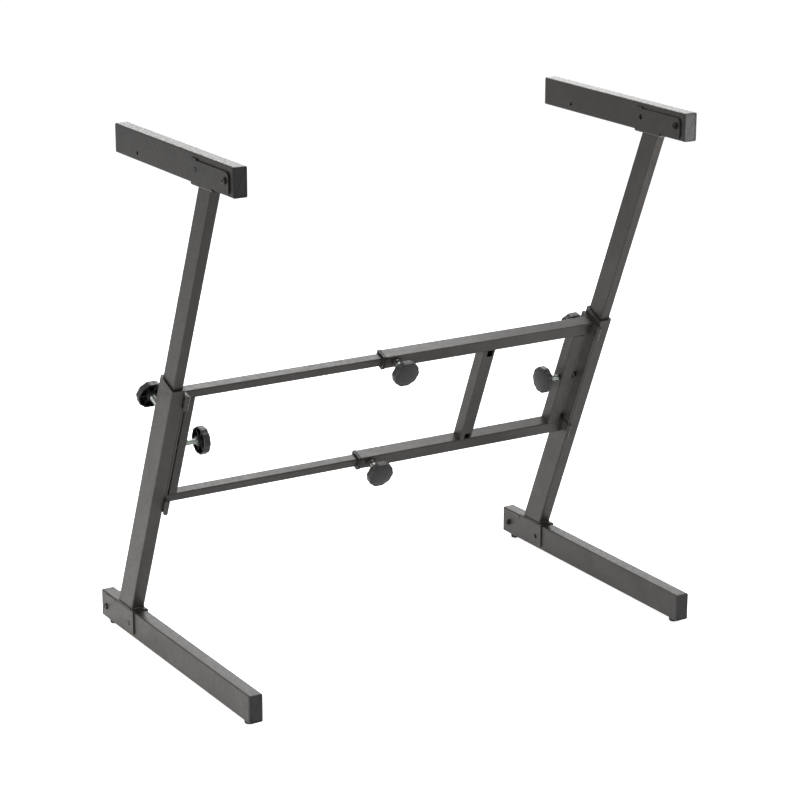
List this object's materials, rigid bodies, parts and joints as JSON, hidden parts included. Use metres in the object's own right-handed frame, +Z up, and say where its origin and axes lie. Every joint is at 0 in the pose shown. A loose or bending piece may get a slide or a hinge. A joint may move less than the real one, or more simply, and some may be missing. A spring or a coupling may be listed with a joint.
{
  "type": "folding keyboard stand",
  "caption": "Folding Z-shaped keyboard stand of black rectangular steel tube, with a telescoping centre frame, telescoping legs, long feet and arms, and clamp knobs.",
  "frame": {"origin": "on the floor, at the centre of the overall box, which is the middle of the two feet", "axes": "+X from the left leg to the right leg, -Y towards the tips of the feet (the front), +Z up; the legs lean 22.5 degrees towards -Y"},
  "size_m": [0.928, 0.5684, 0.9373],
  "materials": {
    "black_powder_coated_steel": "satin black powder coat",
    "black_plastic": "moulded black, matt",
    "black_rubber": "moulded black rubber",
    "zinc_plated_steel": "zinc plated",
    "black_oxide_steel": "black oxide, oiled"
  },
  "bodies": {
    "outer_frame": {"outer_rail_lower": "black_powder_coated_steel", "outer_rail_upper": "black_powder_coated_steel", "middle_post": "black_powder_coated_steel", "right_post": "black_powder_coated_steel", "rail_collars": "black_plastic", "frame_nuts": "black_powder_coated_steel", "right_frame_leaves": "black_powder_coated_steel"},
    "inner_frame": {"inner_rail_lower": "black_powder_coated_steel", "inner_rail_upper": "black_powder_coated_steel", "left_post": "black_powder_coated_steel", "rail_guides": "black_plastic", "left_lock_nut": "black_powder_coated_steel", "left_frame_leaves": "black_powder_coated_steel"},
    "right_leg": {"right_leg_tube": "black_powder_coated_steel", "right_leg_collar": "black_plastic", "right_hinge_strip": "black_powder_coated_steel", "right_hinge_pins": "zinc_plated_steel", "right_foot_bracket": "black_powder_coated_steel", "right_height_nut": "black_powder_coated_steel", "right_foot_bolt": "black_oxide_steel"},
    "right_upper": {"right_upper_tube": "black_powder_coated_steel", "right_arm_bracket": "black_powder_coated_steel", "right_arm_bolt": "black_oxide_steel"},
    "right_foot": {"right_foot_tube": "black_powder_coated_steel", "right_foot_caps": "black_plastic", "right_foot_pads": "black_rubber"},
    "right_arm": {"right_arm_tube": "black_powder_coated_steel", "right_arm_caps": "black_plastic"},
    "right_foot_button": {"right_foot_button": "black_plastic"},
    "right_arm_button": {"right_arm_button": "black_plastic"},
    "right_lock_screw": {"right_lock_knob": "black_plastic", "right_lock_stud": "zinc_plated_steel"},
    "right_height_screw": {"right_height_knob": "black_plastic", "right_height_stud": "zinc_plated_steel"},
    "left_leg": {"left_leg_tube": "black_powder_coated_steel", "left_leg_collar": "black_plastic", "left_hinge_strip": "black_powder_coated_steel", "left_hinge_pins": "zinc_plated_steel", "left_foot_bracket": "black_powder_coated_steel", "left_height_nut": "black_powder_coated_steel", "left_foot_bolt": "black_oxide_steel"},
    "left_upper": {"left_upper_tube": "black_powder_coated_steel", "left_arm_bracket": "black_powder_coated_steel", "left_arm_bolt": "black_oxide_steel"},
    "left_foot": {"left_foot_tube": "black_powder_coated_steel", "left_foot_caps": "black_plastic", "left_foot_pads": "black_rubber"},
    "left_arm": {"left_arm_tube": "black_powder_coated_steel", "left_arm_caps": "black_plastic"},
    "left_foot_button": {"left_foot_button": "black_plastic"},
    "left_arm_button": {"left_arm_button": "black_plastic"},
    "left_lock_screw": {"left_lock_knob": "black_plastic", "left_lock_stud": "zinc_plated_steel"},
    "left_height_screw": {"left_height_knob": "black_plastic", "left_height_stud": "zinc_plated_steel"},
    "width_screw_lower": {"width_knob_lower": "black_plastic", "width_stud_lower": "zinc_plated_steel"},
    "width_screw_upper": {"width_knob_upper": "black_plastic", "width_stud_upper": "zinc_plated_steel"}
  },
  "joints": [
    {"name": "width_slide", "type": "slide", "parent": "outer_frame", "child": "inner_frame", "axis": [-1, 0, 0], "range_m": [-0.28, 0.07]},
    {"name": "right_leg_fold", "type": "hinge", "parent": "outer_frame", "child": "right_leg", "pos_m": [0.42335, 0.02095, 0.38249], "axis": [0, 0.3827, -0.9239], "range_deg": [0, 90]},
    {"name": "right_height_slide", "type": "slide", "parent": "right_leg", "child": "right_upper", "axis": [0, -0.3827, 0.9239], "range_m": [-0.285, 0.068]},
    {"name": "right_foot_fold", "type": "hinge", "parent": "right_leg", "child": "right_foot", "pos_m": [0.439, 0.26025, 0.0335], "axis": [1, 0, 0], "range_deg": [0, 286]},
    {"name": "right_arm_fold", "type": "hinge", "parent": "right_upper", "child": "right_arm", "pos_m": [0.439, -0.23422, 0.91228], "axis": [1, 0, 0], "range_deg": [0, 292.5]},
    {"name": "right_foot_button_press", "type": "slide", "parent": "right_foot", "child": "right_foot_button", "axis": [-1, 0, 0], "range_m": [0, 0.0037], "stiffness_N_per_m": 1500, "springref_m": -0.004},
    {"name": "right_arm_button_press", "type": "slide", "parent": "right_arm", "child": "right_arm_button", "axis": [-1, 0, 0], "range_m": [0, 0.0037], "stiffness_N_per_m": 1500, "springref_m": -0.004},
    {"name": "right_lock_screw_turn", "type": "hinge", "parent": "outer_frame", "child": "right_lock_screw", "pos_m": [0.36835, 0.04848, 0.3939], "axis": [-1, 0, 0], "range_deg": [0, 720]},
    {"name": "right_height_screw_turn", "type": "hinge", "parent": "right_leg", "child": "right_height_screw", "pos_m": [0.439, 0.07404, 0.47592], "axis": [0, 0.9239, 0.3827], "range_deg": [0, 720]},
    {"name": "left_leg_fold", "type": "hinge", "parent": "inner_frame", "child": "left_leg", "pos_m": [-0.42335, 0.02095, 0.38249], "axis": [0, -0.3827, 0.9239], "range_deg": [0, 90]},
    {"name": "left_height_slide", "type": "slide", "parent": "left_leg", "child": "left_upper", "axis": [0, -0.3827, 0.9239], "range_m": [-0.285, 0.068]},
    {"name": "left_foot_fold", "type": "hinge", "parent": "left_leg", "child": "left_foot", "pos_m": [-0.439, 0.26025, 0.0335], "axis": [1, 0, 0], "range_deg": [0, 286]},
    {"name": "left_arm_fold", "type": "hinge", "parent": "left_upper", "child": "left_arm", "pos_m": [-0.439, -0.23422, 0.91228], "axis": [1, 0, 0], "range_deg": [0, 292.5]},
    {"name": "left_foot_button_press", "type": "slide", "parent": "left_foot", "child": "left_foot_button", "axis": [1, 0, 0], "range_m": [0, 0.0037], "stiffness_N_per_m": 1500, "springref_m": -0.004},
    {"name": "left_arm_button_press", "type": "slide", "parent": "left_arm", "child": "left_arm_button", "axis": [1, 0, 0], "range_m": [0, 0.0037], "stiffness_N_per_m": 1500, "springref_m": -0.004},
    {"name": "left_lock_screw_turn", "type": "hinge", "parent": "inner_frame", "child": "left_lock_screw", "pos_m": [-0.36835, 0.04848, 0.3939], "axis": [1, 0, 0], "range_deg": [0, 720]},
    {"name": "left_height_screw_turn", "type": "hinge", "parent": "left_leg", "child": "left_height_screw", "pos_m": [-0.439, 0.07404, 0.47592], "axis": [0, 0.9239, 0.3827], "range_deg": [0, 720]},
    {"name": "width_screw_lower_turn", "type": "hinge", "parent": "outer_frame", "child": "width_screw_lower", "pos_m": [-0.0021, 0.06459, 0.27663], "axis": [0, -0.9239, -0.3827], "range_deg": [0, 720]},
    {"name": "width_screw_upper_turn", "type": "hinge", "parent": "outer_frame", "child": "width_screw_upper", "pos_m": [-0.0021, -0.02305, 0.4882], "axis": [0, -0.9239, -0.3827], "range_deg": [0, 720]}
  ]
}
